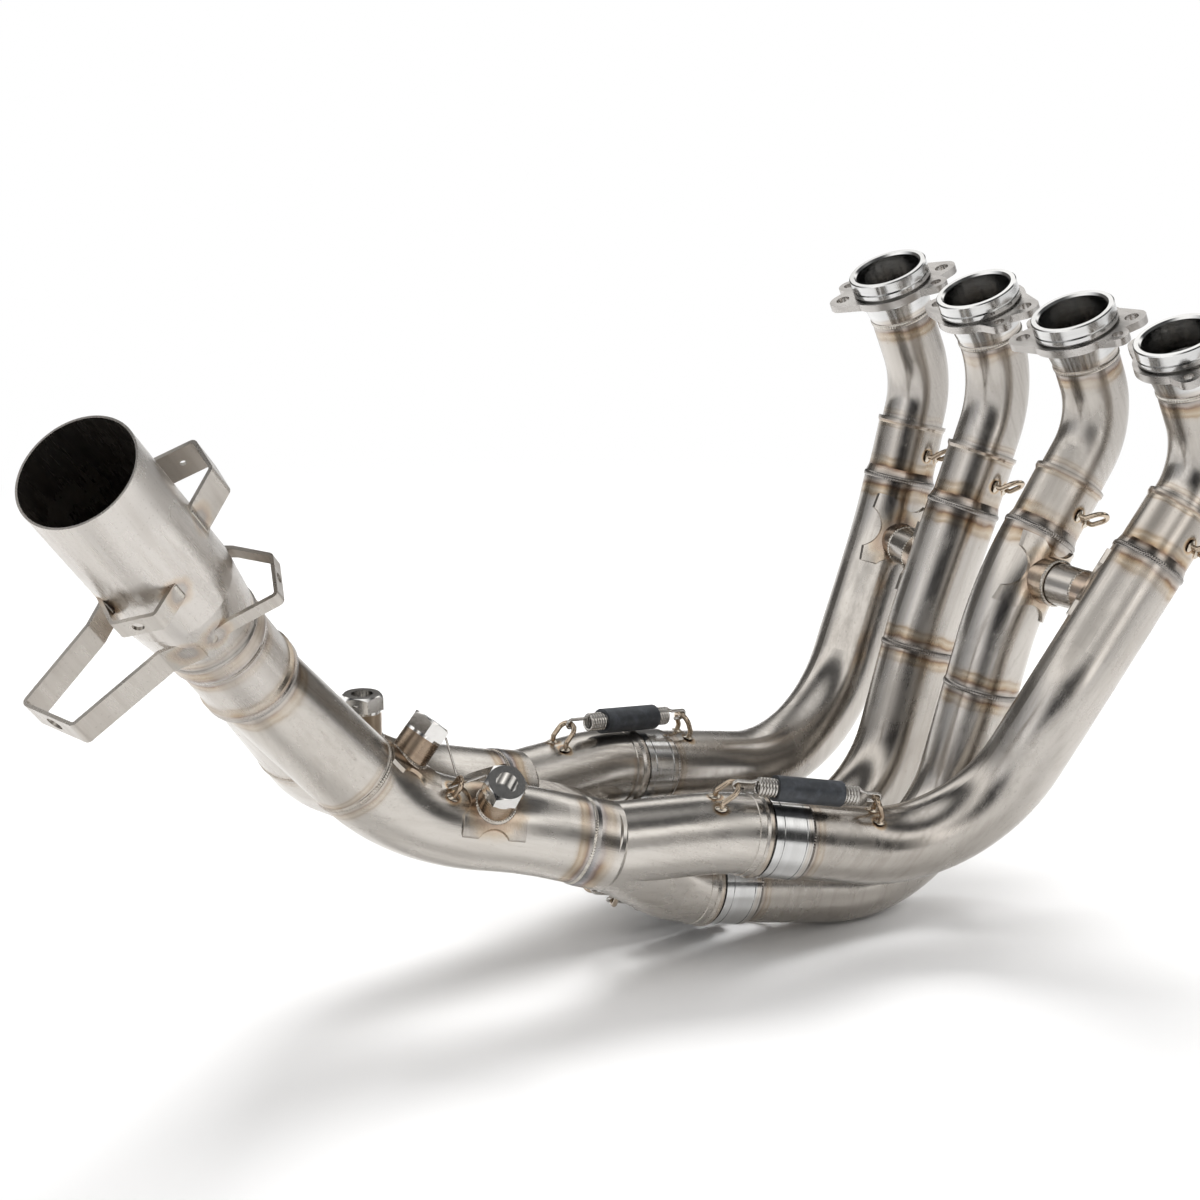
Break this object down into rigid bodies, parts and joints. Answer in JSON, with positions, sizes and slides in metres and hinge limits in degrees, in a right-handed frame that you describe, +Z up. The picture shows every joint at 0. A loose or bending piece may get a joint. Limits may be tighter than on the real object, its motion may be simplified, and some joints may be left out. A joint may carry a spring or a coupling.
{
  "type": "motorcycle exhaust header",
  "caption": "Exhaust header that gathers gas from a row of ports through bent tubes, two bank collectors and a merge into one open outlet.",
  "frame": {"origin": "centre of the overall box at its lowest level", "axes": "+X forward to the ports, +Y to the rider's left, +Z up"},
  "size_m": [0.7134, 0.3421, 0.3667],
  "materials": {
    "tube_titanium": "brushed",
    "turned_titanium": "turned",
    "flange_titanium": "satin",
    "sleeve_rubber": "matte",
    "spring_steel": "bright",
    "hook_wire": "heat tinted",
    "boss_metal": "heat tinted",
    "plug_steel": "bright"
  },
  "bodies": {
    "header": {"balance_saddles": "tube_titanium", "balance_sleeve_left": "tube_titanium", "balance_sleeve_right": "tube_titanium", "balance_tube_left": "tube_titanium", "balance_tube_right": "tube_titanium", "bank_collector_left": "tube_titanium", "bank_collector_right": "tube_titanium", "collector_neck": "tube_titanium", "header_tube_1": "tube_titanium", "header_tube_2_lower": "tube_titanium", "header_tube_2_upper": "tube_titanium", "header_tube_3_lower": "tube_titanium", "header_tube_3_upper": "tube_titanium", "header_tube_4": "tube_titanium", "inlet_bend_1": "tube_titanium", "inlet_bend_2": "tube_titanium", "inlet_bend_3": "tube_titanium", "inlet_bend_4": "tube_titanium", "lock_wires": "spring_steel", "merge_collector": "tube_titanium", "outlet_pipe": "tube_titanium", "outlet_strap_hanger": "tube_titanium", "outlet_strap_low": "tube_titanium", "outlet_strap_side": "tube_titanium", "outlet_strap_top": "tube_titanium", "port_spigot_1": "turned_titanium", "port_spigot_2": "turned_titanium", "port_spigot_3": "turned_titanium", "port_spigot_4": "turned_titanium", "second_tube_left": "tube_titanium", "second_tube_right": "tube_titanium", "sensor_boss_left": "boss_metal", "sensor_boss_merge": "boss_metal", "sensor_boss_right": "boss_metal", "sensor_pads": "tube_titanium", "sensor_plug_left": "plug_steel", "sensor_plug_merge": "plug_steel", "sensor_plug_right": "plug_steel", "slip_ring_1": "turned_titanium", "slip_ring_2": "turned_titanium", "slip_ring_3": "turned_titanium", "slip_ring_4": "turned_titanium", "spring_left_lower": "spring_steel", "spring_left_upper": "spring_steel", "spring_right_lower": "spring_steel", "spring_right_upper": "spring_steel", "spring_sleeve_left_lower": "sleeve_rubber", "spring_sleeve_left_upper": "sleeve_rubber", "spring_sleeve_right_lower": "sleeve_rubber", "spring_sleeve_right_upper": "sleeve_rubber", "upper_socket_1": "tube_titanium", "upper_socket_2": "tube_titanium", "upper_socket_3": "tube_titanium", "upper_socket_4": "tube_titanium", "welded_hooks": "hook_wire", "wire_eyes": "hook_wire"},
    "flange_1": {"port_flange_1": "flange_titanium"},
    "flange_2": {"port_flange_2": "flange_titanium"},
    "flange_3": {"port_flange_3": "flange_titanium"},
    "flange_4": {"port_flange_4": "flange_titanium"}
  },
  "joints": [
    {"name": "flange_turn_1", "type": "hinge", "parent": "header", "child": "flange_1", "pos_m": [0.31, 0.132, 0.3483], "axis": [-0.3843, 0, 0.9232], "continuous": true},
    {"name": "flange_turn_2", "type": "hinge", "parent": "header", "child": "flange_2", "pos_m": [0.31, 0.044, 0.3483], "axis": [-0.3843, 0, 0.9232], "continuous": true},
    {"name": "flange_turn_3", "type": "hinge", "parent": "header", "child": "flange_3", "pos_m": [0.31, -0.044, 0.3483], "axis": [-0.3843, 0, 0.9232], "continuous": true},
    {"name": "flange_turn_4", "type": "hinge", "parent": "header", "child": "flange_4", "pos_m": [0.31, -0.132, 0.3483], "axis": [-0.3843, 0, 0.9232], "continuous": true}
  ]
}
